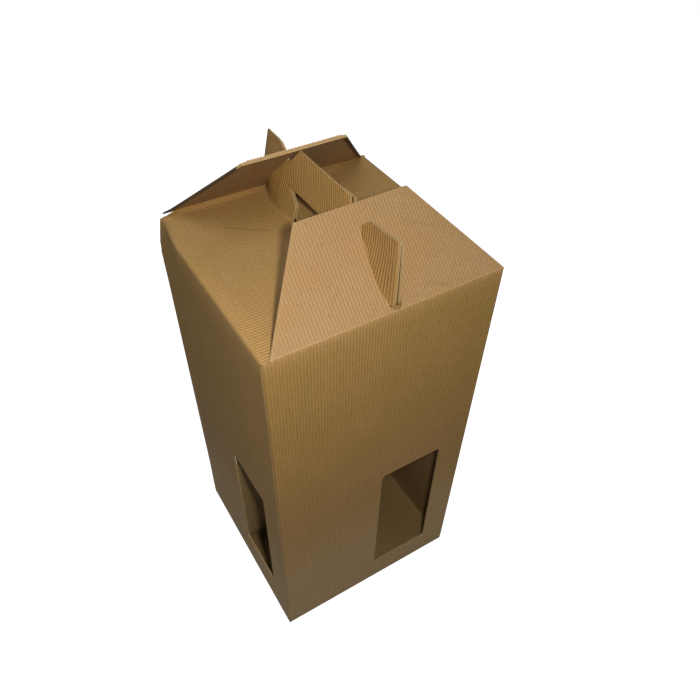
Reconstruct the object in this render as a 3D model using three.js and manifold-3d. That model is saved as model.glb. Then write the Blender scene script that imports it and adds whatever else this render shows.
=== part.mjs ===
// Cardboard bottle carrier: a square carton folded from one blank of open-flute kraft board.
// Two roof panels rise into a double handle, and two slotted lock flaps drop over its ears.
// A flap cut from a window in each wall folds inwards, so that four bottles stand apart.
// Millimetres, +X right across the front, +Y to the back, +Z up, origin under the base centre.
import * as THREE from "three";
import { mergeVertices } from "three/addons/utils/BufferGeometryUtils.js";
import Module from "manifold-3d";

// Carton, outside
const WIDTH = 180;
const DEPTH = 175;
const HEIGHT = 353;

// Board: waved paper outside, a smooth liner inside
const BOARD = 1.5;
const FLUTE_PITCH = 2.31;
const FLUTE_DEPTH = 0.7;
const CORNER_RADIUS = 1.8;
const CORNER_OVERLAP = 10;
const CREASE_CRUSH = 0.2;
const PIECE_GAP = 0.35;

// Roof panels and the handle that they rise into
const ROOF_FOLD_RADIUS = 3;
const ROOF_INSET = 3;
const HANDLE_FOLD_RADIUS = 2.5;
const HANDLE_BOW = 8.5;
const HANDLE_BOW_HEIGHT = 22;
const HANDLE_BOW_START = 4;
const HANDLE_BOW_RUN = 36;
const HANDLE_BOW_STEPS = 5;
const HANDLE_SHIFT = 1.5;
const HANDLE_LAYER_GAP = 0.4;
const HANDLE_HEIGHT = 52.5;
const HAND_HOLE_LENGTH = 82;
const HAND_HOLE_FOOT_LENGTH = 61;
const HAND_HOLE_HEIGHT = 20;
const HAND_HOLE_FOOT_HEIGHT = 12;
const HAND_HOLE_SILL = 1;

// Ears at the handle's ends
const EAR_INSET = 0.6;
const EAR_TIP_HEIGHT = 53.5;
const EAR_RADIUS = 56.2;
const EAR_RELIEF_LENGTH = 3.5;
const EAR_RELIEF_BOTTOM = 0.3;
const EAR_RELIEF_TOP = 3;
const EAR_FOOT_SLOPE = 1.5;
const EAR_NECK_GAP = 1;
const EAR_TIP_TURN = 58;
const EAR_CURVE_STEPS = 4;

// Slotted lock flaps
const FLAP_LENGTH = 70;
const FLAP_TOP_WIDTH = 81.6;
const FLAP_BASE_INSET = 2.5;
const FLAP_TILT = 43.5;
const SLOT_WIDTH = 8.5;
const SLOT_RADIUS = 4.2;
const SLOT_SHIFT = 2.5;
const SLOT_START = 1.2;
const SLOT_END = 58;
const FLAP_REST_GAP = 0.5;
const FLAP_TIP_GAP = 1;

// Windows, whose cut-outs fold in as bottle dividers
const WINDOW_SHIFT = 4.6;
const WINDOW_RADIUS = 4;
const FRONT_WINDOW = { width: 58.5, height: 143, sill: 31.5 };
const SIDE_WINDOW = { width: 55.3, height: 134.5, sill: 43.5 };

// Bottom and glued seam
const FLOOR_SEAM = 1.2;
const FLOOR_TUCK = 14.5;
const GLUE_TAB_WIDTH = 24;
const GLUE_TAB_END_GAP = 12;
const BITE = 0.5;

const ARC_STEPS = 4;
const CORNER_STEPS = 4;
const KRAFT = 0x9c7a4a;
const KRAFT_FLAP = 0xb8945f;
const KRAFT_DIVIDER = 0x86683d;

const wasm = await Module();
wasm.setup();

// A closed three.js geometry as a solid that can be joined and cut.
function toSolid(geometry) {
  const bare = geometry.index ? geometry.toNonIndexed() : geometry.clone();
  bare.deleteAttribute("normal");
  bare.deleteAttribute("uv");
  const merged = mergeVertices(bare, 1e-5);
  return new wasm.Manifold(
    new wasm.Mesh({
      numProp: 3,
      vertProperties: new Float32Array(merged.attributes.position.array),
      triVerts: new Uint32Array(merged.index.array),
    }),
  );
}

function toGeometry(solid) {
  const mesh = solid.getMesh();
  const geometry = new THREE.BufferGeometry();
  geometry.setAttribute("position", new THREE.BufferAttribute(mesh.vertProperties, 3));
  geometry.setIndex(new THREE.BufferAttribute(mesh.triVerts, 1));
  return geometry;
}

function shapeOf(points) {
  return new THREE.Shape(points.map(([a, b]) => new THREE.Vector2(a, b)));
}

// A prism over an outline that is given as [x, z] points and runs from one y to another.
function prismAlongY(points, fromY, toY) {
  const geometry = new THREE.ExtrudeGeometry(shapeOf(points), { depth: toY - fromY, bevelEnabled: false });
  const axes = new THREE.Matrix4().set(1, 0, 0, 0, 0, 0, -1, toY, 0, 1, 0, 0, 0, 0, 0, 1);
  return toSolid(geometry.applyMatrix4(axes));
}

function block(from, to) {
  const outline = [
    [from[0], from[2]],
    [to[0], from[2]],
    [to[0], to[2]],
    [from[0], to[2]],
  ];
  return prismAlongY(outline, from[1], to[1]);
}

// Section of the board across its flutes: [across, depth], depth 0 on the flute crests.
// The liner has a point at each of its stops, so that it can bend there.
function boardSection(length, linerStops) {
  const count = Math.max(2, Math.round(length / FLUTE_PITCH));
  const pitch = length / count;
  const liner = [-length / 2, ...linerStops, length / 2];
  const points = [...liner.map((across) => [across, BOARD]), [length / 2, FLUTE_DEPTH]];
  for (let i = count - 1; i >= 0; i--) {
    points.push([-length / 2 + (i + 0.5) * pitch, 0]);
    points.push([-length / 2 + i * pitch, FLUTE_DEPTH]);
  }
  return shapeOf(points);
}

// How far the handle's foot bows: not in the slots, and fully in the middle, in straight steps.
function bowAt(across) {
  const fromEnd = DEPTH / 2 - Math.abs(across);
  const along = ((fromEnd - HANDLE_BOW_START) / HANDLE_BOW_RUN) * HANDLE_BOW_STEPS;
  const stop = Math.floor(along);
  const [near, far] = [stop, stop + 1].map((step) => THREE.MathUtils.smoothstep(step, 0, HANDLE_BOW_STEPS));
  return HANDLE_BOW * THREE.MathUtils.lerp(near, far, along - stop);
}

// Where the bow changes its slope, from end to end.
function bowStops() {
  const half = [];
  for (let step = 0; step <= HANDLE_BOW_STEPS; step++) {
    half.push(DEPTH / 2 - HANDLE_BOW_START - (HANDLE_BOW_RUN * step) / HANDLE_BOW_STEPS);
  }
  return [...half.map((across) => -across), ...half.reverse()];
}

// Board that follows a fold line. A station is a point on the crests and the way into the board.
// A station with a bow stands in the handle's foot and moves that way along y.
function foldedBoard(length, stations, linerStops = []) {
  const spans = stations.length - 1;
  const settings = { depth: spans, steps: spans, bevelEnabled: false };
  const geometry = new THREE.ExtrudeGeometry(boardSection(length, linerStops), settings);
  const position = geometry.attributes.position;
  for (let i = 0; i < position.count; i++) {
    const depth = position.getY(i);
    const across = position.getX(i);
    const { y, z, inY, inZ, bow = 0 } = stations[Math.round(position.getZ(i))];
    position.setXYZ(i, across, y + depth * inY + bow * bowAt(across), z + depth * inZ);
  }
  return toSolid(geometry);
}

// The two ends of a quarter fold. The way into the board is away from its centre (1) or towards it (-1).
function foldStations(centreY, centreZ, radius, fromAngle, toAngle, inward, bow = 0) {
  return [fromAngle, toAngle].map((degrees) => {
    const angle = THREE.MathUtils.degToRad(degrees);
    const y = Math.cos(angle);
    const z = Math.sin(angle);
    return {
      y: centreY + radius * y,
      z: centreZ + radius * z,
      inY: inward * y,
      inZ: inward * z,
      bow,
    };
  });
}

// Corner points of a rounded rectangle, [x, z].
function roundedRectangle(x0, z0, x1, z1, radius) {
  const corners = [
    [x1 - radius, z0 + radius, -90],
    [x1 - radius, z1 - radius, 0],
    [x0 + radius, z1 - radius, 90],
    [x0 + radius, z0 + radius, 180],
  ];
  const points = [];
  for (const [x, z, start] of corners) {
    for (let i = 0; i <= ARC_STEPS; i++) {
      const angle = THREE.MathUtils.degToRad(start + (90 * i) / ARC_STEPS);
      points.push([x + radius * Math.cos(angle), z + radius * Math.sin(angle)]);
    }
  }
  return points;
}

const tilt = THREE.MathUtils.degToRad(FLAP_TILT);
// How far out of the lock flap's outer face the edges below it lie.
const underFlap = -BOARD - FLAP_REST_GAP;

// A point of the end profile beside the lock flap: along its slope, and out from its outer face.
function besideFlap(along, out) {
  const y = along * Math.cos(tilt) - out * Math.sin(tilt);
  const z = along * Math.sin(tilt) + out * Math.cos(tilt);
  return [y, z];
}

// One end of the roof and handle outline, seen along X: distance from the wall's face, height over the roof.
// The handle's end runs up beneath the lock flap as far as slopeEnd along it.
function handleEnd(slopeEnd) {
  const neck = SLOT_END - SLOT_WIDTH / 2 + Math.sqrt((SLOT_WIDTH / 2) ** 2 - slotOffset() ** 2);
  const points = [
    [CORNER_RADIUS, -BOARD - BITE],
    [ROOF_INSET, -BOARD - BITE],
    [ROOF_INSET, EAR_RELIEF_BOTTOM],
    [ROOF_INSET + EAR_RELIEF_LENGTH, EAR_RELIEF_BOTTOM],
    [ROOF_INSET + EAR_RELIEF_LENGTH, EAR_RELIEF_TOP],
    [ROOF_INSET, EAR_RELIEF_TOP],
    [EAR_INSET, EAR_RELIEF_TOP + EAR_FOOT_SLOPE],
    [EAR_INSET, EAR_TIP_HEIGHT],
  ];
  for (let i = 0; i <= EAR_CURVE_STEPS; i++) {
    const angle = THREE.MathUtils.degToRad(EAR_TIP_TURN + ((FLAP_TILT - EAR_TIP_TURN) * i) / EAR_CURVE_STEPS);
    points.push([EAR_RADIUS * Math.cos(angle), EAR_RADIUS * Math.sin(angle)]);
  }
  points.push(besideFlap(Math.min(EAR_RADIUS, neck) - EAR_NECK_GAP, underFlap));
  points.push(besideFlap(slopeEnd, underFlap));
  return points;
}

// How far the handle's outer face lies from the middle of the slot.
function slotOffset() {
  return Math.abs(HANDLE_SHIFT - SLOT_SHIFT) + HANDLE_LAYER_GAP / 2 + BOARD;
}

// Outline of a side with its roof panel and handle, [across, z].
// The handle's front end stands upright behind the flap's tip, its back end slopes up to the top.
// frontSign is the sign of across at the carton's front.
function sideOutline(frontSign) {
  const slopeToTop = (HANDLE_HEIGHT - underFlap * Math.cos(tilt)) / Math.sin(tilt);
  const front = handleEnd(FLAP_LENGTH + FLAP_TIP_GAP);
  front.push([front.at(-1)[0], HANDLE_HEIGHT]);
  const ends = frontSign < 0 ? [front, handleEnd(slopeToTop)] : [handleEnd(slopeToTop), front];
  const first = ends[0].map(([y, z]) => [y - DEPTH / 2, z + HEIGHT]);
  const last = ends[1].map(([y, z]) => [DEPTH / 2 - y, z + HEIGHT]).reverse();
  const low = -BITE;
  return [[CORNER_RADIUS - DEPTH / 2, low], ...first, ...last, [DEPTH / 2 - CORNER_RADIUS, low]];
}

function handHole() {
  const foot = HAND_HOLE_FOOT_LENGTH / 2;
  const top = HAND_HOLE_LENGTH / 2;
  const half = [
    [foot, HAND_HOLE_SILL],
    [foot, HAND_HOLE_FOOT_HEIGHT],
    [top, HAND_HOLE_HEIGHT],
  ];
  const right = half.map(([y, z]) => [y, z + HEIGHT]);
  const left = right.map(([y, z]) => [-y, z]).reverse();
  return [...right, ...left];
}

function windowHole(window, distance) {
  const { width, height, sill } = window;
  const outline = roundedRectangle(WINDOW_SHIFT, sill, WINDOW_SHIFT + width, sill + height, WINDOW_RADIUS);
  return prismAlongY(outline, -distance - BITE, -distance + BOARD + BITE);
}

// Left and right walls: each is one strip with its roof panel and its layer of the handle.
// handleShift is the handle's place along the strip's own inward direction, as is the way its foot bows.
function sideStrip(handleShift, bow, frontSign) {
  const distance = WIDTH / 2;
  const handleFace = handleShift - HANDLE_LAYER_GAP / 2 - BOARD;
  const roofFold = ROOF_FOLD_RADIUS;
  const handleFold = HANDLE_FOLD_RADIUS;
  const stations = [
    { y: -distance, z: 0, inY: 1, inZ: 0 },
    ...foldStations(roofFold - distance, HEIGHT - roofFold, roofFold, 180, 90, -1),
    ...foldStations(handleFace - handleFold, HEIGHT + handleFold, handleFold, -90, 0, 1, bow),
    { y: handleFace, z: HEIGHT + HANDLE_BOW_HEIGHT, inY: 1, inZ: 0 },
    { y: handleFace, z: HEIGHT + Math.max(EAR_TIP_HEIGHT, HANDLE_HEIGHT) + BITE, inY: 1, inZ: 0 },
  ];
  return foldedBoard(DEPTH - 2 * EAR_INSET, stations, bowStops())
    .intersect(prismAlongY(sideOutline(frontSign), -distance - BITE, distance))
    .subtract(prismAlongY(handHole(), -distance / 2, distance / 2))
    .subtract(windowHole(SIDE_WINDOW, distance));
}

// Where the front and back walls stop, below the lock flap's heel.
const wallTop = HEIGHT - BOARD * Math.cos(tilt) - PIECE_GAP;

function endWall() {
  const distance = DEPTH / 2;
  const stations = [
    { y: -distance, z: 0, inY: 1, inZ: 0 },
    { y: -distance, z: wallTop, inY: 1, inZ: 0 },
  ];
  return foldedBoard(WIDTH - 2 * CORNER_RADIUS, stations).subtract(windowHole(FRONT_WINDOW, distance));
}

// The crushed board round the vertical corner whose quarter turn starts at this angle.
function cornerFold(startDegrees) {
  const outer = CORNER_RADIUS - CREASE_CRUSH;
  const inner = CORNER_RADIUS - BOARD + CREASE_CRUSH / 2;
  const middle = THREE.MathUtils.degToRad(startDegrees + 45);
  const x = Math.sign(Math.cos(middle)) * (WIDTH / 2 - CORNER_RADIUS);
  const y = Math.sign(Math.sin(middle)) * (DEPTH / 2 - CORNER_RADIUS);
  const from = THREE.MathUtils.degToRad(startDegrees - CORNER_OVERLAP);
  const to = THREE.MathUtils.degToRad(startDegrees + 90 + CORNER_OVERLAP);
  const shape = new THREE.Shape();
  shape.absarc(x, y, outer, from, to, false);
  shape.absarc(x, y, inner, to, from, true);
  const settings = { depth: wallTop, bevelEnabled: false, curveSegments: CORNER_STEPS };
  return toSolid(new THREE.ExtrudeGeometry(shape, settings));
}

// Bottom: two outer flaps that meet in the middle, under a short and a long inner flap.
function floorFlaps() {
  const liner = (FLUTE_DEPTH + BOARD) / 2;
  const x = WIDTH / 2 - liner;
  const y = DEPTH / 2 - liner;
  const seam = FLOOR_SEAM / 2;
  const layer = BOARD - CREASE_CRUSH / 2;
  const top = 2 * BOARD;
  const inside = DEPTH / 2 - BOARD - PIECE_GAP;
  const tuck = FLOOR_TUCK - WIDTH / 2;
  return [
    block([-x, -y, 0], [x, -seam, BOARD]),
    block([-x, seam, 0], [x, y, BOARD]),
    block([-x, -inside, layer], [tuck, inside, top]),
    block([tuck + FLOOR_SEAM, -inside, layer], [x, inside, top]),
  ];
}

// The glued tab behind the right wall's back edge.
function glueTab() {
  const wall = WIDTH / 2 - BOARD;
  const end = DEPTH / 2 - BOARD + CREASE_CRUSH / 2;
  const bottom = 2 * BOARD + GLUE_TAB_END_GAP;
  const top = HEIGHT - GLUE_TAB_END_GAP;
  return block([wall - BOARD, end - GLUE_TAB_WIDTH, bottom], [wall + CREASE_CRUSH / 2, end, top]);
}

// Exact quarter turns about Z keep the flute faces on their planes.
function quarterTurns(solid, turns) {
  const [c, s] = [
    [1, 0],
    [0, 1],
    [-1, 0],
    [0, -1],
  ][turns];
  return solid.transform([c, s, 0, 0, -s, c, 0, 0, 0, 0, 1, 0, 0, 0, 0, 1]);
}

function carton() {
  const pieces = [
    endWall(),
    quarterTurns(endWall(), 2),
    quarterTurns(sideStrip(HANDLE_SHIFT, -1, 1), 3),
    quarterTurns(sideStrip(-HANDLE_SHIFT, 1, -1), 1),
    ...[0, 90, 180, 270].map(cornerFold),
    ...floorFlaps(),
    glueTab(),
  ];
  return pieces.reduce((whole, piece) => whole.add(piece));
}

// A lock flap lies flat here: crease along X at z = 0, outer face on y = 0.
function lockFlap(slotShift) {
  const heel = PIECE_GAP;
  const base = WIDTH / 2 - FLAP_BASE_INSET;
  const top = FLAP_TOP_WIDTH / 2;
  const outline = [
    [-base, heel],
    [base, heel],
    [top, FLAP_LENGTH],
    [-top, FLAP_LENGTH],
  ];
  const slotLeft = slotShift - SLOT_WIDTH / 2;
  const slotRight = slotShift + SLOT_WIDTH / 2;
  const slot = roundedRectangle(slotLeft, SLOT_START, slotRight, SLOT_END, SLOT_RADIUS);
  const stations = [
    { y: 0, z: 0, inY: 1, inZ: 0 },
    { y: 0, z: FLAP_LENGTH + BITE, inY: 1, inZ: 0 },
  ];
  return foldedBoard(WIDTH - 2 * CORNER_RADIUS, stations)
    .intersect(prismAlongY(outline, -BITE, BOARD + BITE))
    .subtract(prismAlongY(slot, -BITE, BOARD + BITE));
}

// A window's cut-out, hinged along z at x = 0 on the liner's plane, y = 0.
function windowFlap(window) {
  const { width, height, sill } = window;
  const gap = PIECE_GAP;
  const length = width - 2 * gap;
  const stations = [
    { y: -BOARD, z: sill, inY: 1, inZ: 0 },
    { y: -BOARD, z: sill + height, inY: 1, inZ: 0 },
  ];
  const top = sill + height - gap;
  const outline = roundedRectangle(-length / 2, sill + gap, length / 2, top, WINDOW_RADIUS - gap);
  return foldedBoard(length, stations)
    .intersect(prismAlongY(outline, -BOARD - BITE, BITE))
    .translate([gap + length / 2, 0, 0]);
}

function namedMesh(name, solid, color) {
  const material = new THREE.MeshStandardMaterial({ color, roughness: 0.9, metalness: 0 });
  const mesh = new THREE.Mesh(toGeometry(solid), material);
  mesh.name = name;
  return mesh;
}

const carrier = new THREE.Group();
carrier.add(namedMesh("carton", carton(), KRAFT));

// Each side is a group that faces the front and is turned about Z.
const sides = [
  { name: "front", turn: 0, distance: DEPTH / 2, window: FRONT_WINDOW, slotShift: SLOT_SHIFT },
  { name: "right", turn: Math.PI / 2, distance: WIDTH / 2, window: SIDE_WINDOW },
  { name: "back", turn: Math.PI, distance: DEPTH / 2, window: FRONT_WINDOW, slotShift: -SLOT_SHIFT },
  { name: "left", turn: -Math.PI / 2, distance: WIDTH / 2, window: SIDE_WINDOW },
];
for (const { name, turn, distance, window, slotShift } of sides) {
  const side = new THREE.Group();
  side.rotation.z = turn;
  const divider = namedMesh(name + "_window_flap", windowFlap(window), KRAFT_DIVIDER);
  divider.position.set(WINDOW_SHIFT, BOARD - distance, 0);
  divider.rotation.z = Math.PI / 2;
  side.add(divider);
  if (slotShift !== undefined) {
    const flap = namedMesh(name + "_lock_flap", lockFlap(slotShift), KRAFT_FLAP);
    flap.position.set(0, -distance, HEIGHT);
    flap.rotation.x = tilt - Math.PI / 2;
    side.add(flap);
  }
  carrier.add(side);
}

export default carrier;
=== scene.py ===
"""Looks of the cardboard bottle carrier: open-flute kraft board, built sheet by sheet.

Lengths in this file are millimetres until a mesh is made. +X right, +Y back, +Z up.
Flat coordinates of a board are (across, along): across its flutes, and along them up the wall.
"""

import math

import bpy
import numpy as np
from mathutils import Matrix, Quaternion, Vector


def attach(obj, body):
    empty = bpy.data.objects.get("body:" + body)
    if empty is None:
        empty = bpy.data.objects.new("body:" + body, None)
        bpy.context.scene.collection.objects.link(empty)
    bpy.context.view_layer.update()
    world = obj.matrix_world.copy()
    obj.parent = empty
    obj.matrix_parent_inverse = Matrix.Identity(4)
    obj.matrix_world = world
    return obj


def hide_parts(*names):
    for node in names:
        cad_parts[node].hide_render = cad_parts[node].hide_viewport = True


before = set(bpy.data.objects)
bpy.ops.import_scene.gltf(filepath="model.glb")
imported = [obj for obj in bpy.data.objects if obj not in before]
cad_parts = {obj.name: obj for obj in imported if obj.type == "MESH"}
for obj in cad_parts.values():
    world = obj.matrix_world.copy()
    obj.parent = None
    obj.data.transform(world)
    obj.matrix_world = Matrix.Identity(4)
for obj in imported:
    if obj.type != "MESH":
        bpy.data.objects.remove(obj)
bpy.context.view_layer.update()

MM = 0.001
WIDTH, DEPTH, HEIGHT = 180.0, 175.0, 353.0
BOARD, FLUTE_PITCH, FLUTE_DEPTH = 1.5, 2.31, 0.7
CORNER = 1.8
# the lock flaps' lean over the roof, and the walls' top edge just under them
TILT = math.radians(43.5)
FLAP_LENGTH = 70.0
WALL_TOP = HEIGHT - BOARD * math.cos(TILT) - 0.08
MITRE = 1.5
# windows: the start right of the wall's middle, then (width, height, sill)
WINDOW_SHIFT, WINDOW_RADIUS = 4.6, 4.0
FRONT_WINDOW = (58.5, 143.0, 31.5)
SIDE_WINDOW = (55.3, 134.5, 43.5)

# how a board is drawn: points across a flute, and how the flutes press flat; crushed flutes lose part of
# their painted valley shade, and painted light on the liner side falls off in the flute valleys as painted
# shade at the flute holes
FLUTE_SAMPLES = 6
CRUSHED_HEIGHT, CRUSHED_SHADE = 0.75, 0.6
LINER_RIPPLE, LINER_MARK = 0.05, 0.15
SHARP_ANGLE = math.radians(62)
WELD = 0.004
FAR = 1e6


def smooth(value, low, high):
    """0 below low, 1 above high, and an even rise between them."""
    t = np.clip((np.asarray(value, float) - low) / (high - low), 0.0, 1.0)
    return t * t * (3 - 2 * t)


def bell(value, centre, half_width):
    """1 at the centre, falling to nothing on both sides."""
    return np.exp(-(((np.asarray(value, float) - centre) / half_width) ** 2))


# board sheets


def crossings(polygons, across):
    """Where the line at this across value meets the outline and the holes, sorted."""
    found = []
    for polygon in polygons:
        p, q = polygon, np.roll(polygon, -1, axis=0)
        hit = (p[:, 0] > across) != (q[:, 0] > across)
        t = (across - p[hit, 0]) / (q[hit, 0] - p[hit, 0])
        found.extend(p[hit, 1] + t * (q[hit, 1] - p[hit, 1]))
    return sorted(found)


def inside(spans, along):
    """Whether a place lies on the board, whose edges are listed in pairs."""
    return any(lo < along < hi for lo, hi in zip(spans[::2], spans[1::2]))


class Mesh:
    """Collects vertices with their flute values, and quads with their material's place."""

    def __init__(self):
        self.points, self.ribs, self.depths, self.paints = [], [], [], []
        self.faces, self.kinds = [], []
        self.count = 0

    def grid(self, points, ribs, depths, paints):
        rows = points.shape[0] * points.shape[1]
        index = np.arange(rows).reshape(points.shape[:2]) + self.count
        self.points.append(points.reshape(-1, 3))
        self.ribs.append(ribs.reshape(-1))
        self.depths.append(depths.reshape(-1))
        self.paints.append(paints.reshape(-1))
        self.count += rows
        return index

    def quads(self, a, b, c, d, kind):
        block = np.stack([a.ravel(), b.ravel(), c.ravel(), d.ravel()], 1)
        self.faces.append(block)
        self.kinds.append(np.full(len(block), kind))


def plain(across, along):
    """No mark anywhere."""
    return 0 * across + 0 * along


def board_sheet(polygons, length, rows, place, crush, relief=1.0, paint=plain):
    """A board with true flutes on its outer side, cut to an outline with holes and folded by place.

    Crush (0 to 1) presses the flutes flat. Relief, a number or a function, scales their depth.
    Paint (-1 to 1) darkens or lightens the paper. Where relief passes 1, the crests also get painted light
    and the valleys painted shade.
    """
    flutes = max(2, round(length / FLUTE_PITCH))
    pitch = length / flutes
    fine = np.linspace(-length / 2, length / 2, flutes * FLUTE_SAMPLES + 1)
    polygons = [np.round(np.asarray(p, float), 3) for p in polygons]
    breaks = np.unique(np.concatenate([p[:, 0] for p in polygons]))
    mesh = Mesh()

    def skin(across, along):
        wave = 0.5 + 0.5 * np.cos(2 * math.pi * (across + length / 2) / pitch)
        flat = crush(across, along)
        strength = relief(across, along) if callable(relief) else relief
        height = FLUTE_DEPTH * (strength * wave * (1 - flat) + CRUSHED_HEIGHT * flat)
        # rib drives the painted shade in the flute valleys, which crushed flutes partly lose; past a relief
        # of 1 the marks add painted light on the crests and painted shade in the valleys
        rib = strength * wave * (1 - CRUSHED_SHADE * flat)
        marks = paint(across, along) + np.clip(strength - 1, 0, 1) * (1 - 2 * wave)
        outer = mesh.grid(place(across, along, height), rib, np.zeros_like(rib), marks)
        ripple = BOARD - LINER_RIPPLE * (1 - wave)
        # on the liner side painted light falls off in the flute valleys, which gives the cut faces scallops
        # of painted shade at the flute holes
        liner_marks = np.minimum(marks, marks * (LINER_MARK + (1 - LINER_MARK) * wave))
        inner = mesh.grid(place(across, along, ripple), rib, np.ones_like(rib), liner_marks)
        return outer, inner

    last_spans, last_break = [], None
    for start, end in zip(breaks[:-1], breaks[1:]):
        inner_columns = fine[(fine > start + 0.02) & (fine < end - 0.02)]
        columns = np.concatenate([[start], inner_columns, [end]])
        probe = np.clip(columns, start + 1e-5, end - 1e-5)
        spans = np.array([crossings(polygons, a) for a in probe])
        close_side(mesh, skin, last_spans, spans[0], start, rows)
        for k in range(0, spans.shape[1], 2):
            lo, hi = spans[:, k], spans[:, k + 1]
            steps = rows[(rows > lo.min()) & (rows < hi.max())]
            steps = np.concatenate([[-FAR], steps, [FAR]])
            along = np.clip(steps[None, :], lo[:, None], hi[:, None])
            across = np.repeat(columns[:, None], along.shape[1], axis=1)
            o, i = skin(across, along)
            mesh.quads(o[:-1, :-1], o[1:, :-1], o[1:, 1:], o[:-1, 1:], 0)
            mesh.quads(i[:-1, :-1], i[:-1, 1:], i[1:, 1:], i[1:, :-1], 1)
            mesh.quads(o[:-1, 0], i[:-1, 0], i[1:, 0], o[1:, 0], 2)
            mesh.quads(o[:-1, -1], o[1:, -1], i[1:, -1], i[:-1, -1], 2)
        last_spans, last_break = spans[-1], end
    close_side(mesh, skin, last_spans, [], last_break, rows)
    return mesh


def close_side(mesh, skin, left, right, across, rows):
    """Cut faces where the board is on one side only of this across value."""
    ends = sorted(set(list(left) + list(right)))
    for lo, hi in zip(ends[:-1], ends[1:]):
        middle = (lo + hi) / 2
        on_left, on_right = inside(left, middle), inside(right, middle)
        if on_left == on_right or hi - lo < 1e-4:
            continue
        steps = np.concatenate([[lo], rows[(rows > lo) & (rows < hi)], [hi]])[None, :]
        o, i = skin(np.full_like(steps, across), steps)
        o, i = o[0], i[0]
        if on_left:
            mesh.quads(o[:-1], i[:-1], i[1:], o[1:], 2)
        else:
            mesh.quads(o[:-1], o[1:], i[1:], i[:-1], 2)


def make_object(name, meshes, materials):
    """One object of several sheets, with near points welded and quads that shrink kept as triangles."""
    points, ribs, depths, paints = (
        np.concatenate([block for m in meshes for block in getattr(m, title)])
        for title in ("points", "ribs", "depths", "paints")
    )
    bases = np.cumsum([0] + [m.count for m in meshes])
    faces = np.concatenate([np.concatenate(m.faces) + base for m, base in zip(meshes, bases)])
    kinds = np.concatenate([block for m in meshes for block in m.kinds])

    points = points * MM
    keys = np.round(points / (WELD * MM)).astype(np.int64)
    _, first, back = np.unique(keys, axis=0, return_index=True, return_inverse=True)
    faces = back.reshape(-1)[faces]
    points, ribs, depths, paints = points[first], ribs[first], depths[first], paints[first]

    distinct = faces != np.roll(faces, -1, axis=1)
    corner_count = distinct.sum(1)
    whole, three = corner_count == 4, corner_count == 3
    loops = np.concatenate([faces[whole].ravel(), faces[three][distinct[three]]])
    sizes = np.concatenate([np.full(whole.sum(), 4), np.full(three.sum(), 3)])
    kept = np.concatenate([kinds[whole], kinds[three]])

    data = bpy.data.meshes.new(name)
    data.vertices.add(len(points))
    data.vertices.foreach_set("co", points.astype(np.float32).ravel())
    data.loops.add(len(loops))
    data.loops.foreach_set("vertex_index", loops.astype(np.int32))
    data.polygons.add(len(sizes))
    starts = np.concatenate([[0], np.cumsum(sizes)[:-1]])
    data.polygons.foreach_set("loop_start", starts.astype(np.int32))
    data.polygons.foreach_set("material_index", kept.astype(np.int32))
    data.polygons.foreach_set("use_smooth", np.ones(len(sizes), bool))
    for title, values in (("rib", ribs), ("inward", depths), ("paint", paints)):
        data.attributes.new(title, "FLOAT", "POINT").data.foreach_set("value", values.astype(np.float32))
    data.update(calc_edges=True)
    data.validate()
    for material in materials:
        data.materials.append(material)
    data.set_sharp_from_angle(angle=SHARP_ANGLE)
    made = bpy.data.objects.new(name, data)
    bpy.context.scene.collection.objects.link(made)
    return made


def rounded_window(x0, width, sill, height, radius=WINDOW_RADIUS, steps=6):
    """The outline of a window with round corners."""
    x1, z1 = x0 + width, sill + height
    centres = [
        (x1 - radius, sill + radius, -90),
        (x1 - radius, z1 - radius, 0),
        (x0 + radius, z1 - radius, 90),
        (x0 + radius, sill + radius, 180),
    ]
    points = []
    for x, z, start in centres:
        for i in range(steps + 1):
            angle = math.radians(start + 90 * i / steps)
            points.append((x + radius * math.cos(angle), z + radius * math.sin(angle)))
    return points


def turned(points, turns):
    """Quarter turns about Z."""
    c, s = [(1, 0), (0, 1), (-1, 0), (0, -1)][turns % 4]
    x, y = points[..., 0].copy(), points[..., 1].copy()
    return np.stack([c * x - s * y, s * x + c * y, points[..., 2]], -1)


def stacked(x, y, z):
    """Points from three arrays of coordinates."""
    return np.stack(np.broadcast_arrays(x, y, z), -1)


# wear of the whole carton


# the rear left top corner goes in and down, and the left wall is hollow near its edges
CORNER_PULL, CORNER_PRESS, WALL_HOLLOW = 4.6, 3.8, 0.8


def worn(points):
    """The carton's own small dents."""
    x, y, z = points[..., 0], points[..., 1], points[..., 2]
    pull = CORNER_PULL * smooth(z, HEIGHT - 31, HEIGHT + 1) * smooth(y, 40, 88) * smooth(-x, 55, 90)
    press = CORNER_PRESS * smooth(-x, 71, 91) * smooth(y, 62, 88) * smooth(z, HEIGHT - 18, HEIGHT)
    upright = smooth(z, 0, 60) * smooth(HEIGHT - z, 0, 60)
    hollow = WALL_HOLLOW * smooth(-x, 88, 89.9) * smooth(np.abs(y), 40, 88) * upright
    return np.stack([x + pull + hollow, y, z - press], -1)


# side strips: wall, roof panel, handle layer

ROOF_FOLD, HANDLE_FOLD = 3.0, 2.5
HANDLE_SHIFT, LAYER_GAP = 1.5, 0.4
# heights over the roof: the handle's top, and the top of its bowed foot in the middle and at the ends
HANDLE_TOP, FOOT_TOP, END_FOOT_TOP = 52.8, 31.0, 42.0
SIDE_FOLD, SIDE_FLOOR = 2.5, 1.5
# how far the handle's foot bows to the left, by the distance from the handle's end
BOW_FROM_END = [0.0, 4.0, 8.5, 14.0, 21.0, 28.0, 35.5, 46.3, 55.1, 62.0, 88.0]
BOW_LEFT = [0.0, 0.4, 2.4, 4.8, 7.0, 8.2, 8.8, 7.8, 6.4, 4.6, 4.0]
ROOF_EDGE, ROOF_LIFT, ROOF_SAG = 85.2, 0.9, 0.7
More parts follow.
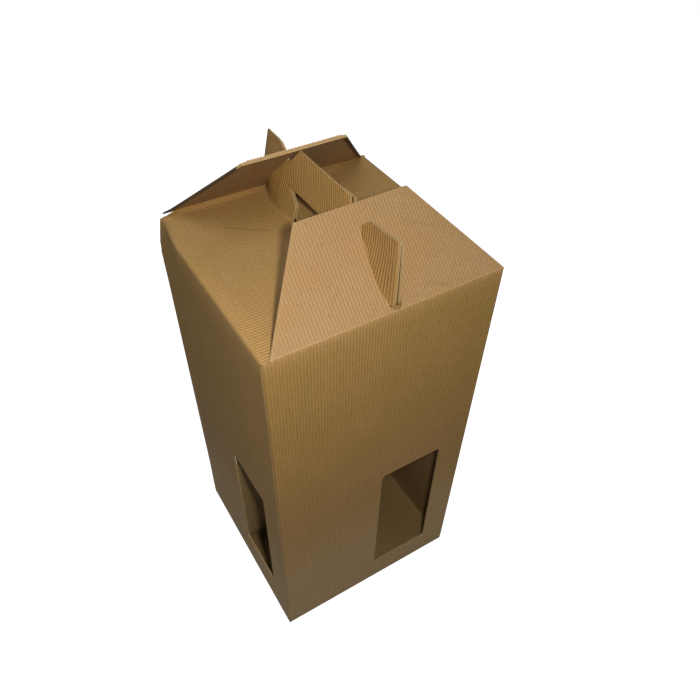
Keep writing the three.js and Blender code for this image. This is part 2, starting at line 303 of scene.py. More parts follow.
# hand hole and ears, as (distance from the middle or inset from the end, height over the roof)
HAND_HOLE = [(30.5, 1.0), (30.5, 11.0), (33.0, 13.5), (39.0, 18.6), (41.0, 20.0)]
EAR_INSET, EAR_RADIUS, EAR_TURN = 0.6, 56.2, math.radians(58)
FRONT_TIP = [(EAR_INSET, 51.0)]
REAR_CUT = [(EAR_INSET, 17.8), (2.5, 22.9)]
REAR_TIP = [(11.0, 45.8), (12.2, 48.0)]
# the handle's slopes run below the lock flaps, from the ears' inner corners
SLOPE_START, UNDER_FRONT_FLAP, UNDER_BACK_FLAP, FRONT_END = 53.0, 2.0, 2.6, 71.0
# how deep the flutes look, as a share of their depth; past 1 they also get painted light on the crests and
# painted shade in the valleys
SIDE_RELIEF, ROOF_RELIEF, HANDLE_RELIEF = 0.32, 0.3, 1.35


def side_strip(handle_shift, bow, turns, floor_end, top, splay, paint):
    """A side wall with its inner floor flap, roof panel and handle layer.

    The strip is drawn as the left one and turned into place. Top is the layer's height over the roof,
    and splay is how far its front ear stands off to the right.
    """
    distance = WIDTH / 2
    face = handle_shift - LAYER_GAP / 2 - BOARD
    s_wall = HEIGHT - ROOF_FOLD
    s_roof = s_wall + ROOF_FOLD * math.pi / 2
    roof_length = (face - HANDLE_FOLD) - (ROOF_FOLD - distance)
    s_fold = s_roof + roof_length
    s_handle = s_fold + HANDLE_FOLD * math.pi / 2
    s_turn = SIDE_FLOOR + SIDE_FOLD
    s_floor = s_turn - SIDE_FOLD * math.pi / 2
    floor_length = floor_end + distance - SIDE_FOLD
    front_sign = -bow

    def up(z):
        """Flat place of a height over the roof."""
        if z >= HANDLE_FOLD:
            return s_handle + z - HANDLE_FOLD
        return s_fold + HANDLE_FOLD * math.acos(1 - z / HANDLE_FOLD)

    def bow_at(across):
        return bow * np.interp(DEPTH / 2 - np.abs(across), BOW_FROM_END, BOW_LEFT)

    def place(across, along, depth):
        foot = bow_at(across)
        y = np.full_like(along, -distance) + depth
        z = along.copy()
        # bottom fold and inner floor flap
        turn = np.clip((s_turn - along) / SIDE_FOLD, 0, math.pi / 2)
        low = along < s_turn
        run = np.clip(s_floor - along, 0, None)
        y = np.where(low, SIDE_FOLD - distance - (SIDE_FOLD - depth) * np.cos(turn) + run, y)
        z = np.where(low, s_turn - (SIDE_FOLD - depth) * np.sin(turn), z)
        # top crease
        turn = np.clip((along - s_wall) / ROOF_FOLD, 0, math.pi / 2)
        bend = along > s_wall
        y = np.where(bend, ROOF_FOLD - distance - (ROOF_FOLD - depth) * np.cos(turn), y)
        z = np.where(bend, HEIGHT - ROOF_FOLD + (ROOF_FOLD - depth) * np.sin(turn), z)
        # roof panel, whose last millimetres rise at both ends
        share = np.clip((along - s_roof) / roof_length, 0, 1)
        on_roof = along > s_roof
        y = np.where(on_roof, ROOF_FOLD - distance + share * (roof_length + foot), y)
        lift = smooth(np.abs(across), 74, 85) * smooth(share, 0.02, 0.3) * smooth(1 - share, 0.05, 0.3)
        sag = np.sin(math.pi * share) * smooth(84 - np.abs(across), 0, 40)
        z = np.where(on_roof, HEIGHT - depth + ROOF_LIFT * lift - ROOF_SAG * sag, z)
        # fold into the handle
        turn = np.clip((along - s_fold) / HANDLE_FOLD, 0, math.pi / 2)
        rise = along > s_fold
        y = np.where(rise, face - HANDLE_FOLD + foot + (HANDLE_FOLD + depth) * np.sin(turn), y)
        z = np.where(rise, HEIGHT + HANDLE_FOLD - (HANDLE_FOLD + depth) * np.cos(turn), z)
        # handle and ears
        over = along > s_handle
        height = along - s_handle + HANDLE_FOLD
        foot_top = END_FOOT_TOP + (FOOT_TOP - END_FOOT_TOP) * smooth(84 - np.abs(across), 28, 52)
        fade = 1 - smooth(height, HANDLE_FOLD - 6, foot_top)
        start = 1 - smooth(HANDLE_FOLD, HANDLE_FOLD - 6, foot_top)
        inset = DEPTH / 2 - front_sign * across
        clear = height * math.cos(TILT) - inset * math.sin(TILT)
        open_front = splay * smooth(clear, -14, -2) * (1 - 0.35 * smooth(height, 12, 52))
        fluffed = depth * (1 + 0.5 * smooth(2.2 - inset, 0, 1.4) * over * smooth(height, 4, 9))
        y = np.where(over, face + fluffed + foot * fade / start + open_front, y)
        z = np.where(over, HEIGHT + height, z)
        return worn(turned(stacked(across, y, z), turns))

    def crush(across, along):
        bottom = bell(along, s_turn - 2, 2.2)
        top_bend = bell(along, s_wall + 2.2, 2.4)
        foot = bell(along, s_fold + 1.8, 2.2)
        on_handle = smooth(along, s_fold, s_handle)
        hole_side = smooth(np.abs(across), 29, 31) * smooth(46 - np.abs(across), 0, 6)
        hole_side = 0.9 * hole_side * smooth(up(25.0) - along, 0, 5)
        rear_ear = 0.9 * smooth(-front_sign * across, 46, 56)
        front_edge = 0.8 * smooth(front_sign * across, 82, 85)
        flat = 0.75 * bottom + 0.55 * top_bend + 0.6 * foot
        return np.clip(flat + (hole_side + rear_ear + front_edge) * on_handle, 0, 1)

    def end_outline(at_front):
        """The outline of the front or back end, from the floor flap up to the handle's top."""
        edge = DEPTH / 2 - CORNER
        points = [(84.0, low), (edge, s_turn), (edge, s_wall + 0.6), (87.1, s_wall + 2.0)]
        points += [(87.1, s_roof + 1.0), (ROOF_EDGE, s_roof + 3.5), (ROOF_EDGE, up(0.3)), (81.0, up(0.3))]
        points += [(81.0, up(3.0)), (84.5, up(3.0)), (DEPTH / 2 - EAR_INSET, up(4.5))]
        drop = HANDLE_TOP - top
        cut, tip = ([], FRONT_TIP) if at_front else (REAR_CUT, REAR_TIP)
        points += [(DEPTH / 2 - inset, up(z)) for inset, z in cut]
        points += [(DEPTH / 2 - inset, up(z - drop)) for inset, z in tip]
        for angle in np.linspace(EAR_TURN, TILT, 7):
            y, z = EAR_RADIUS * math.cos(angle), EAR_RADIUS * math.sin(angle) - drop
            points.append((DEPTH / 2 - y, up(z)))
        below = UNDER_FRONT_FLAP if at_front else UNDER_BACK_FLAP
        slope_end = FRONT_END if at_front else (top + below * math.cos(TILT)) / math.sin(TILT)
        for reach in (SLOPE_START, slope_end):
            y = reach * math.cos(TILT) + below * math.sin(TILT)
            z = reach * math.sin(TILT) - below * math.cos(TILT)
            points.append((DEPTH / 2 - y, up(z)))
        if at_front:
            points.append((DEPTH / 2 - y, up(top)))
        return points

    low = s_floor - floor_length
    front = end_outline(front_sign > 0)
    back = [(-a, s) for a, s in reversed(end_outline(front_sign < 0))]
    hole = [(a, up(z)) for a, z in HAND_HOLE] + [(-a, up(z)) for a, z in reversed(HAND_HOLE)]
    width, height, sill = SIDE_WINDOW
    polygons = [front + back, rounded_window(WINDOW_SHIFT, width, sill, height), hole]
    stations = [
        (low, s_floor, max(3, round(floor_length / 24))),
        (s_floor, s_turn, 5),
        (s_turn, s_wall, 20),
        (s_wall, s_roof, 7),
        (s_roof, s_fold, 34),
        (s_fold, s_handle, 5),
        (s_handle, up(FOOT_TOP), 10),
        (up(FOOT_TOP), up(54.0), 15),
    ]
    rows = np.unique(np.concatenate([np.linspace(*station) for station in stations]))

    def relief(across, along):
        wall = smooth(s_wall + 1.0, along - 1.5, along + 1.5)
        handle = smooth(along, s_fold, up(22.0))
        roof = ROOF_RELIEF + 0.2 * smooth(front_sign * across, -30, 60)
        rear, front = smooth(-front_sign * across, 50, 60), smooth(front_sign * across, 48, 58)
        tall = HANDLE_RELIEF - 1.0 * rear - 0.45 * front
        return SIDE_RELIEF * wall + (1 - wall) * (roof * (1 - handle) + tall * handle)

    def marks(across, along):
        to_front, height = front_sign * across, along - up(0.0)
        on_handle = smooth(along, s_fold, s_handle)
        pale = 0.36 * smooth(along, up(6.0), up(24.0)) * smooth(60 - to_front, 0, 8)
        front_edge = 0.45 * smooth(to_front - DEPTH / 2 + 1.2, -0.8, 0.4) * smooth(along, up(3.0), up(8.0))
        hole_side = 0.35 * bell(np.abs(across), 30.5, 1.2) * on_handle
        # a dark line runs along the rear ear's cut edge, from its lower corner up to the tip
        (inset, low_end), (tip_inset, tip_end) = REAR_CUT[1], REAR_TIP[0]
        run = math.hypot(tip_inset - inset, tip_end - low_end)
        beside = (DEPTH / 2 + to_front - inset) * (tip_end - low_end) / run
        beside = beside - (height - low_end) * (tip_inset - inset) / run
        on_rear_ear = smooth(-to_front, 60, 62) * smooth(along, up(16.0), up(20.0))
        own = paint(to_front, along - s_roof, along - s_wall)
        return own + pale + front_edge + hole_side - 0.7 * on_rear_ear * bell(beside, 0, 1.7)

    return board_sheet(polygons, DEPTH - 2 * EAR_INSET, rows, place, crush, relief, marks)


def stroke(across, along, start, end, width):
    """How near a flat place lies to a straight mark, 0 to 1."""
    (a0, s0), (a1, s1) = start, end
    length = math.hypot(a1 - a0, s1 - s0)
    t = np.clip(((across - a0) * (a1 - a0) + (along - s0) * (s1 - s0)) / length**2, 0, 1)
    return bell(np.hypot(across - a0 - t * (a1 - a0), along - s0 - t * (s1 - s0)), 0, width)


def left_marks(to_front, roof, crease):
    """Marks on the left strip: to_front runs from back to front, roof and crease from the fold up."""
    on_roof = smooth(roof, -1, 2)
    light_strip = 0.6 * smooth(-to_front, 77.0, 79.5) * on_roof * smooth(84 - roof, 0, 4)
    # painted light over the pressed rear corner, offsetting the shade of its dent
    dent_painted_light = 0.25 * smooth(-to_front, 55, 78) * smooth(24 - roof, 0, 16) * on_roof
    lines = 0.26 * stroke(to_front, roof, (-52, 36), (-30, 66), 0.9)
    lines = lines + 0.22 * stroke(to_front, roof, (-74, 14), (-46, 11), 0.9)
    lines = lines + 0.2 * stroke(to_front, roof, (-26, 8), (40, 13), 1.0)
    warm = (0.16 * bell(to_front, 40, 45) + 0.2 * bell(roof, 0, 14)) * on_roof
    # a lighter band along the rounded top crease
    crease_band = 0.35 * bell(crease, 3.4, 1.3)
    return light_strip + dent_painted_light - lines + warm + crease_band


def right_marks(to_front, roof, crease):
    """The right strip has only a lighter band along its top crease."""
    return 0.25 * bell(crease, 3.4, 1.3)


# front and back walls with their floor flaps

END_FOLD, FLOOR_SEAM = 3.0, 0.12
END_RELIEF, CORNER_RELIEF = 0.34, 0.5


def mitre(along, depth):
    """How far the outer side rises over the inner one at a wall's top, under a lock flap."""
    return smooth(along, WALL_TOP - MITRE, WALL_TOP) * (1 - depth / BOARD)


def end_wall(turns):
    """The front or back wall with its floor flap."""
    distance = DEPTH / 2
    s_floor = END_FOLD - END_FOLD * math.pi / 2
    run_length = distance - END_FOLD - FLOOR_SEAM

    def place(across, along, depth):
        turn = np.clip((END_FOLD - along) / END_FOLD, 0, math.pi / 2)
        low = along < END_FOLD
        run = np.clip(s_floor - along, 0, None)
        y = np.where(low, END_FOLD - distance - (END_FOLD - depth) * np.cos(turn) + run, depth - distance)
        z = np.where(low, END_FOLD - (END_FOLD - depth) * np.sin(turn), along + mitre(along, depth))
        return worn(turned(stacked(across, y, z), turns))

    def crush(across, along):
        return np.clip(0.75 * bell(along, 0.6, 2.0) + 0.7 * bell(along, WALL_TOP, 1.6), 0, 1)

    def paint(across, along):
        return 0.3 * bell(along, WALL_TOP, 1.2) + 0 * across

    side = WIDTH / 2 - CORNER
    low = s_floor - run_length
    right_half = [(side - 2.0, low), (side, 0.0), (side, WALL_TOP)]
    outline = right_half + [(-a, s) for a, s in reversed(right_half)]
    width, height, sill = FRONT_WINDOW
    rows = np.concatenate(
        [
            np.linspace(low, s_floor, 6),
            np.linspace(s_floor, END_FOLD, 6)[1:],
            np.linspace(END_FOLD, WALL_TOP, 22)[1:-1],
            [WALL_TOP - 2 * MITRE, WALL_TOP - MITRE],
        ]
    )
    polygons = [outline, rounded_window(WINDOW_SHIFT, width, sill, height)]
    return board_sheet(polygons, 2 * side, np.unique(rows), place, crush, END_RELIEF, paint)


def corner_edge(sign_x, sign_y):
    """The board bent round a vertical corner, with its flutes running on."""
    centre_x, centre_y = sign_x * (WIDTH / 2 - CORNER), sign_y * (DEPTH / 2 - CORNER)
    middle = math.atan2(sign_y, sign_x)
    length = CORNER * math.pi / 2

    def place(across, along, depth):
        angle = middle + across / CORNER
        radius = CORNER - depth
        x, y = centre_x + radius * np.cos(angle), centre_y + radius * np.sin(angle)
        return worn(stacked(x, y, along + mitre(along, depth)))

    def crush(across, along):
        return 0.25 + 0.6 * bell(along, 1.0, 3.0) + 0 * across

    half = length / 2
    outline = [(half, 1.0), (half, WALL_TOP), (-half, WALL_TOP), (-half, 1.0)]
    return board_sheet([outline], length, np.linspace(1.0, WALL_TOP, 24), place, crush, CORNER_RELIEF)


# the glue tab behind the right wall's back edge: its width, its two heights and how far its corners are cut
TAB_WIDTH, TAB_LOW, TAB_HIGH, TAB_CUT = 24.0, 15.0, 341.0, 10.0


def glue_tab():
    """The tab that holds the right wall to the back wall."""
    wall, end = WIDTH / 2 - BOARD, DEPTH / 2 - BOARD
    half = TAB_WIDTH / 2

    def place(across, along, depth):
        return stacked(wall - depth, end - half + across, along)

    def crush(across, along):
        return 0.6 + 0 * across

    outline = [(half, TAB_LOW), (half, TAB_HIGH), (-half, TAB_HIGH - TAB_CUT), (-half, TAB_LOW + TAB_CUT)]
    return board_sheet([outline], TAB_WIDTH, np.linspace(TAB_LOW, TAB_HIGH, 12), place, crush)


# lock flaps and window flaps


def lock_flap(turns, base, top, length, slot, curl, lip, wrinkles, relief):
    """A slotted lock flap. Base, top and length have a left and a right value, seen from outside.

    The board is fluffed up to lip times along its edges. A flap fluffed this way has its slanting edges
    crushed and painted with shade, and a painted highlight on its top edge.
    """
    thick_lipped = lip > 1
    outline = [(-base[0], 0.1), (base[1], 0.1), (top[1], length[1]), (-top[0], length[0])]

    def side_gap(across, along):
        """Distance to the nearer slanting side."""
        gaps = []
        for sign, low, high in ((-1, base[0], top[0]), (1, base[1], top[1])):
            limit = low + (high - low) * along / FLAP_LENGTH
            gaps.append((limit - sign * across) * math.cos(math.atan2(low - high, FLAP_LENGTH)))
        return np.minimum(*gaps)

    def place(across, along, depth):
        edge = np.minimum(side_gap(across, along), FLAP_LENGTH + 0.8 - along)
        fluffed = depth * (1 + (lip - 1) * smooth(3.2 - edge, 0, 2.6) * smooth(along, 2, 8))
        inward = fluffed + curl(across, along)
        y = -DEPTH / 2 + along * math.cos(TILT) + inward * math.sin(TILT)
        z = HEIGHT + along * math.sin(TILT) - inward * math.cos(TILT)
        return turned(stacked(across, y, z), turns)

    def crush(across, along):
        at_side = smooth(2.6 - side_gap(across, along), 0, 2.0)
        flat = 0.75 * bell(along, 0.4, 1.6) + (1.0 if thick_lipped else 0.55) * at_side
        for start, end, strength in wrinkles:
            flat = flat + strength * stroke(across, along, start, end, 0.9)
        return np.clip(flat, 0, 1)

    def paint(across, along):
        total = 0.3 * bell(along, 0.3, 0.9) + 0 * across
        for start, end, strength in wrinkles:
            total = total - 0.34 * strength * stroke(across, along, start, end, 0.8)
        # a flap fluffed at its edges is darker towards its right, seen from outside, carries painted shade
        # along its slanting cut edges for the unlit open flutes there, and a painted highlight along its top
        # cut edge
        if thick_lipped:
            total = total - 0.16 * smooth(across, 5, 50)
            total = total - 0.9 * smooth(2.6 - side_gap(across, along), 0, 1.2) * smooth(69.5 - along, 0, 2)
            total = total + 0.75 * smooth(along, 69.0, 70.2)
        return total

    rows = np.concatenate([[0.6, 1.2], np.linspace(2.0, FLAP_LENGTH + 0.4, 46)])
    return board_sheet([outline, slot], WIDTH - 2 * CORNER, rows, place, crush, relief, paint)


def front_curl(across, along):
    """The front flap is slightly wavy."""
    return 0.25 * np.sin(across / 31.0) * smooth(along, 20, 70)


BACK_BEND, BACK_BEND_AT = 2.7, 72.0


def back_curl(across, along):
    """The back flap is slightly wavy and bends away from the handle towards its far edge."""
    bend = -BACK_BEND * (np.clip(along, 0, None) / BACK_BEND_AT) ** 1.4
    return bend + 0.35 * np.sin(across / 27.0 + 0.6) * smooth(along, 25, 70)


WINDOW_GAP, CREASE_GAP = 0.35, 0.05
DIVIDER_RELIEF = 0.5


def window_flap(window, distance, turns):
    """A window's cut-out, folded in at the window's side nearest the wall's middle."""
    width, height, sill = window
    length = width - WINDOW_GAP - CREASE_GAP

    def place(across, along, depth):
        x = WINDOW_SHIFT + BOARD - depth
        y = BOARD + CREASE_GAP - distance + length / 2 + across
        return turned(stacked(x, y, along), turns)

    def crush(across, along):
        return 0.5 * bell(across, -length / 2, 1.5) + 0 * along

    outline = rounded_window(
        -length / 2, length, sill + WINDOW_GAP, height - 2 * WINDOW_GAP, WINDOW_RADIUS - WINDOW_GAP
    )
    rows = np.linspace(sill, sill + height, 8)
    return board_sheet([outline], length, rows, place, crush, DIVIDER_RELIEF)


# kraft materials


def node(tree, kind, **inputs):
    """A new shader node with input values, or settings where the node has no such input."""
    made = tree.nodes.new(kind)
    for key, value in inputs.items():
        if key in made.inputs:
            made.inputs[key].default_value = value
        else:
            setattr(made, key, value)
    return made


def ramp(tree, low, high, low_colour, high_colour):
    """A colour ramp between two positions."""
    made = tree.nodes.new("ShaderNodeValToRGB")
    made.color_ramp.elements[0].position, made.color_ramp.elements[0].color = low, (*low_colour, 1)
    made.color_ramp.elements[1].position, made.color_ramp.elements[1].color = high, (*high_colour, 1)
    return made


def linear(r, g, b):
    """sRGB 0-255 to linear."""
    out = []
    for value in (r, g, b):
        v = value / 255
        out.append(v / 12.92 if v <= 0.04045 else ((v + 0.055) / 1.055) ** 2.4)
    return tuple(out)


def blend_colour(tree, mode, factor, first, second):
    """Two colours mixed; each argument is a value or another node's output."""
    made = tree.nodes.new("ShaderNodeMix")
    made.data_type, made.blend_type = "RGBA", mode
    for socket, value in ((made.inputs[0], factor), (made.inputs[6], first), (made.inputs[7], second)):
        if hasattr(value, "is_output"):
            tree.links.new(value, socket)
        elif isinstance(value, tuple):
            socket.default_value = (*value, 1)
        else:
            socket.default_value = value
    return made.outputs[2]


def noise(tree, coordinates, scale, detail, stretch=(1, 1, 1)):
    """Noise over the object's own coordinates."""
    mapping = tree.nodes.new("ShaderNodeMapping")
    mapping.inputs["Scale"].default_value = stretch
    tree.links.new(coordinates, mapping.inputs["Vector"])
    made = node(tree, "ShaderNodeTexNoise", Scale=scale, Detail=detail, Roughness=0.6)
    tree.links.new(mapping.outputs["Vector"], made.inputs["Vector"])
    return made.outputs["Fac"]


LIGHT_MARK, DARK_MARK = (1.42, 1.4, 1.34), (0.2, 0.19, 0.2)


def kraft(name, crest, valley, blotch, edge=False, heights=()):
    """Kraft paper: flecked fibre, soft blotches of tone and painted shade in the flute valleys.

    Heights lists (millimetres up the carton, tone there), for board whose tone drifts up the walls, partly as
    the paper's own and partly as painted light colour.
    """
    material = bpy.data.materials.new(name)
    material.use_nodes = True
    tree = material.node_tree
    shader = next(n for n in tree.nodes if n.type == "BSDF_PRINCIPLED")
    coordinates = tree.nodes.new("ShaderNodeTexCoord").outputs["Object"]
    rib = tree.nodes.new("ShaderNodeAttribute")
    rib.attribute_name = "rib"
    # the darker valley colour is painted shade in the flute valleys
    tone = blend_colour(tree, "MIX", rib.outputs["Fac"], crest, valley)
    paint = tree.nodes.new("ShaderNodeAttribute")
    paint.attribute_name = "paint"
    for low, high, colour in ((0.0, 1.0, LIGHT_MARK), (0.0, -1.0, DARK_MARK)):
        reach = node(tree, "ShaderNodeMapRange")
        reach.inputs["From Min"].default_value, reach.inputs["From Max"].default_value = low, high
        tree.links.new(paint.outputs["Fac"], reach.inputs["Value"])
        tinted = blend_colour(tree, "MULTIPLY", 1.0, tone, colour)
        tone = blend_colour(tree, "MIX", reach.outputs["Result"], tone, tinted)
    if heights:
        split = tree.nodes.new("ShaderNodeSeparateXYZ")
        tree.links.new(coordinates, split.inputs["Vector"])
        drift = tree.nodes.new("ShaderNodeValToRGB")
        stops = drift.color_ramp.elements
        while len(stops) < len(heights):
            stops.new(0.5)
        for stop, (height, colour) in zip(stops, heights):
            stop.position, stop.color = height / (HEIGHT + 60), (*colour, 1)
        scaled = node(tree, "ShaderNodeMapRange")
        scaled.inputs["From Max"].default_value = (HEIGHT + 60) * MM
        tree.links.new(split.outputs["Z"], scaled.inputs["Value"])
        tree.links.new(scaled.outputs["Result"], drift.inputs["Fac"])
        tone = blend_colour(tree, "MULTIPLY", 1.0, tone, drift.outputs["Color"])
    cloud = ramp(tree, 0.36, 0.66, (1, 1, 1), blotch)
    tree.links.new(noise(tree, coordinates, 26, 3), cloud.inputs["Fac"])
    tone = blend_colour(tree, "MULTIPLY", 1.0, tone, cloud.outputs["Color"])
    fibre = ramp(tree, 0.3, 0.7, (0.87, 0.86, 0.84), (1.1, 1.1, 1.1))
    tree.links.new(noise(tree, coordinates, 900, 4, (1, 1, 0.35)), fibre.inputs["Fac"])
    tone = blend_colour(tree, "MULTIPLY", 0.8, tone, fibre.outputs["Color"])
    fleck = ramp(tree, 0.62, 0.74, (1, 1, 1), (0.72, 0.66, 0.58))
    tree.links.new(noise(tree, coordinates, 420, 2), fleck.inputs["Fac"])
    tone = blend_colour(tree, "MULTIPLY", 0.55, tone, fleck.outputs["Color"])
    # cut faces get painted shade across the middle of the board's thickness, where the flutes' open holes are
    if edge:
        inward = tree.nodes.new("ShaderNodeAttribute")
        inward.attribute_name = "inward"
        hollow = ramp(tree, 0.12, 0.3, (1, 1, 1), (0.8, 0.75, 0.68))
        hollow.color_ramp.elements.new(0.72).color = (0.8, 0.75, 0.68, 1)
        hollow.color_ramp.elements.new(0.86).color = (1, 1, 1, 1)
        tree.links.new(inward.outputs["Fac"], hollow.inputs["Fac"])
        tone = blend_colour(tree, "MULTIPLY", 0.75, tone, hollow.outputs["Color"])
    tree.links.new(tone, shader.inputs["Base Color"])
    rough = tree.nodes.new("ShaderNodeMapRange")
    rough.inputs["To Min"].default_value, rough.inputs["To Max"].default_value = 0.62, 0.82
    tree.links.new(noise(tree, coordinates, 160, 3), rough.inputs["Value"])
    tree.links.new(rough.outputs["Result"], shader.inputs["Roughness"])
    shader.inputs["Specular IOR Level"].default_value = 0.32
    bump = node(tree, "ShaderNodeBump", Strength=0.16, Distance=0.0003)
    tree.links.new(noise(tree, coordinates, 1400, 3, (1, 1, 0.4)), bump.inputs["Height"])
    tree.links.new(bump.outputs["Normal"], shader.inputs["Normal"])
    return material


OLIVE = (0.93, 0.97, 0.86)
RED = (1.0, 0.93, 0.86)
# tone up the walls: bluer and greyer near the floor, partly the paper's own paling and partly painted bounce
# light from the white floor; yellower from the middle up, painted colour of the warmer light on the walls
WALL_TONES = [
    (0, (0.98, 1.08, 1.5)),
    (90, (0.94, 0.98, 1.25)),
    (150, (0.88, 0.82, 0.8)),
    (230, (0.9, 0.84, 0.68)),
    (340, (0.94, 0.89, 0.76)),
    (351, (1.0, 0.97, 1.0)),
]
# each kraft gets a crest colour and a darker valley colour; the valley's darkness is painted shade in the
# flute valleys
outer_kraft = kraft(
    "carton_kraft_outside", linear(186, 148, 90), linear(126, 92, 46), OLIVE, heights=WALL_TONES
)
inner_kraft = kraft("carton_kraft_inside", linear(150, 119, 76), linear(146, 115, 72), OLIVE)
edge_kraft = kraft("carton_kraft_cut_edge", linear(196, 164, 118), linear(170, 138, 96), OLIVE, edge=True)
# the flaps' outer colour is lighter and paler than the walls': painted sheen from the flash, which the flaps
# face
flap_kraft = kraft("lock_flap_kraft_outside", linear(178, 144, 99), linear(151, 114, 70), RED)
flap_inner_kraft = kraft("lock_flap_kraft_inside", linear(170, 138, 98), linear(166, 134, 94), RED)
# the window flaps' paper is darker than the walls': painted shade for the dim inside of the carton
divider_kraft_painted_shade = kraft("divider_kraft_painted_shade", linear(154, 126, 83), linear(128, 98, 60), OLIVE)

# pieces


def dress(made, body, cad_node):
    """Hang a piece on its body's empty and hide the CAD node it stands in for."""
    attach(made, body)
    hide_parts(cad_node)


board_materials = [outer_kraft, inner_kraft, edge_kraft]
flap_materials = [flap_kraft, flap_inner_kraft, edge_kraft]
divider_materials = [divider_kraft_painted_shade, inner_kraft, edge_kraft]

# the outer bottom flap is short and the inner one ends just before it
SHORT_FLAP, FLAP_SEAM = 14.5, 1.2
left_end, right_end = -WIDTH / 2 + SHORT_FLAP, WIDTH - SHORT_FLAP - FLAP_SEAM - WIDTH / 2
carton_pieces = {
    "left_side": [side_strip(HANDLE_SHIFT, -1, 3, left_end, HANDLE_TOP, 0.3, left_marks)],
    "right_side": [side_strip(-HANDLE_SHIFT, 1, 1, right_end, HANDLE_TOP - 2.0, -2.4, right_marks)],
    "front_wall": [end_wall(0)],
    "back_wall": [end_wall(2)],
    "corner_edges": [corner_edge(x, y) for x in (-1, 1) for y in (-1, 1)],
    "glue_tab": [glue_tab()],
}
for title, parts in carton_pieces.items():
    dress(make_object(title, parts, board_materials), "carton_body", "carton")

FRONT_SLOT = [(1.0, 2.6), (2.2, 1.4), (3.8, 0.9), (5.6, 1.0), (7.2, 2.0), (8.0, 4.0), (8.0, 7.8)]
FRONT_SLOT += [(7.2, 25.0), (6.9, 56.8), (4.4, 56.9), (2.0, 56.0), (0.2, 53.6), (-1.5, 49.1)]
FRONT_SLOT += [(-0.8, 25.0), (-0.5, 7.7), (-0.2, 4.0)]
BACK_SLOT = [(-6.75, 8.0), (-5.0, 4.9), (-0.4, 4.9), (1.0, 8.0), (0.5, 40.0), (-0.3, 56.4), (-1.5, 56.4)]
BACK_SLOT += [(-1.7, 54.6), (-3.9, 54.6), (-4.6, 40.0)]
FRONT_WRINKLES = [
    ((6.0, 26.0), (22.0, 34.0), 0.8),
    ((30.0, 10.0), (44.0, 3.5), 0.7),
    ((52.0, 40.0), (30.0, 52.0), 0.5),
    ((-40.0, 12.0), (-28.0, 26.0), 0.35),
]
BACK_WRINKLES = [((-30.0, 20.0), (-18.0, 44.0), 0.6)]
front_flap = lock_flap(
    0, (84.6, 89.9), (40.0, 41.2), (70.2, 71.2), FRONT_SLOT, front_curl, 1.0, FRONT_WRINKLES, 0.4
)
back_flap = lock_flap(
    2, (86.5, 82.4), (40.8, 39.0), (71.6, 72.8), BACK_SLOT, back_curl, 1.9, BACK_WRINKLES, 0.5
)
for side, flap in (("front", front_flap), ("back", back_flap)):
    made = make_object(side + "_lock_flap_board", [flap], flap_materials)
    dress(made, side + "_lock", side + "_lock_flap")

sides = [
    ("front", 0, FRONT_WINDOW, DEPTH / 2),
    ("right", 1, SIDE_WINDOW, WIDTH / 2),
    ("back", 2, FRONT_WINDOW, DEPTH / 2),
    ("left", 3, SIDE_WINDOW, WIDTH / 2),
]
for side, turns, window, distance in sides:
    flap = make_object(side + "_divider_board", [window_flap(window, distance, turns)], divider_materials)
    dress(flap, side + "_divider", side + "_window_flap")

# floor, light and camera

floor_data = bpy.data.meshes.new("floor")
FLOOR_REACH, FLOOR_DROP = 6.0, 0.0002
floor_corners = [(FLOOR_REACH * x, FLOOR_REACH * y, 0) for x, y in ((-1, -1), (1, -1), (1, 1), (-1, 1))]
floor_data.from_pydata(floor_corners, [], [(0, 1, 2, 3)])
floor = bpy.data.objects.new("floor", floor_data)
floor.location.z = -FLOOR_DROP
bpy.context.scene.collection.objects.link(floor)
white = bpy.data.materials.new("white_floor")
white.use_nodes = True
tree = white.node_tree
tree.nodes.clear()
output = tree.nodes.new("ShaderNodeOutputMaterial")
paint = node(tree, "ShaderNodeBsdfDiffuse", Color=(0.8, 0.8, 0.8, 1))
glow = node(tree, "ShaderNodeEmission", Color=(1, 1, 1, 1))
path = tree.nodes.new("ShaderNodeLightPath")
lift = node(tree, "ShaderNodeMath", operation="MULTIPLY")
lift.inputs[1].default_value = 0.9
tree.links.new(path.outputs["Is Camera Ray"], lift.inputs[0])
tree.links.new(lift.outputs[0], glow.inputs["Strength"])
both = tree.nodes.new("ShaderNodeAddShader")
tree.links.new(paint.outputs[0], both.inputs[0])
tree.links.new(glow.outputs[0], both.inputs[1])
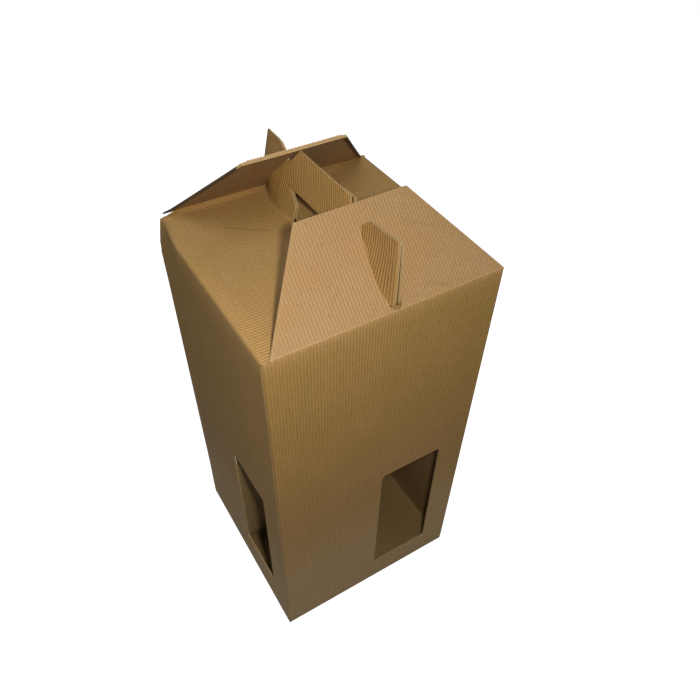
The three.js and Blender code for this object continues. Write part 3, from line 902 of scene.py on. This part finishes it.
tree.links.new(both.outputs[0], output.inputs["Surface"])
floor_data.materials.append(white)

world = bpy.data.worlds.new("studio")
bpy.context.scene.world = world
world.use_nodes = True
tree = world.node_tree
background = next(n for n in tree.nodes if n.type == "BACKGROUND")
sky = tree.nodes.new("ShaderNodeMix")
sky.data_type = "RGBA"
sky.inputs[6].default_value, sky.inputs[7].default_value = (0.9, 0.97, 1.14, 1), (1, 1, 1, 1)
tree.links.new(sky.outputs[2], background.inputs["Color"])
path = tree.nodes.new("ShaderNodeLightPath")
level = tree.nodes.new("ShaderNodeMapRange")
level.inputs["To Min"].default_value, level.inputs["To Max"].default_value = 0.09, 1.0
tree.links.new(path.outputs["Is Camera Ray"], level.inputs["Value"])
tree.links.new(path.outputs["Is Camera Ray"], sky.inputs[0])
tree.links.new(level.outputs["Result"], background.inputs["Strength"])


def lamp(name, location, size, power, colour):
    """A disc lamp that points at the carton's middle."""
    data = bpy.data.lights.new(name, "AREA")
    data.color = colour
    data.shape, data.size, data.energy = "DISK", size, power
    made = bpy.data.objects.new(name, data)
    made.location = location
    made.rotation_mode = "QUATERNION"
    made.rotation_quaternion = (Vector(AIM) - Vector(location)).to_track_quat("-Z", "Y")
    bpy.context.scene.collection.objects.link(made)


AIM = (0.0, 0.0, 0.25)
lamp("flash", (-0.1457, -0.3303, 0.6186), 0.03, 1.34, (1.0, 0.985, 0.93))
lamp("window_light", (-0.15, 0.1, 1.6), 1.5, 5.8, (0.95, 0.99, 1.08))

camera_data = bpy.data.cameras.new("camera")
camera_data.lens = 33.795
camera_data.sensor_width = 36.0
camera_data.shift_x, camera_data.shift_y = 0.00333, 0.04845
camera = bpy.data.objects.new("camera", camera_data)
camera.location = (-0.1874, -0.3313, 0.6186)
camera.rotation_mode = "QUATERNION"
camera.rotation_quaternion = Quaternion((0.8971062, 0.3489611, -0.1071094, -0.2489061))
bpy.context.scene.collection.objects.link(camera)
bpy.context.scene.camera = camera

bpy.context.scene.view_settings.view_transform = "Standard"
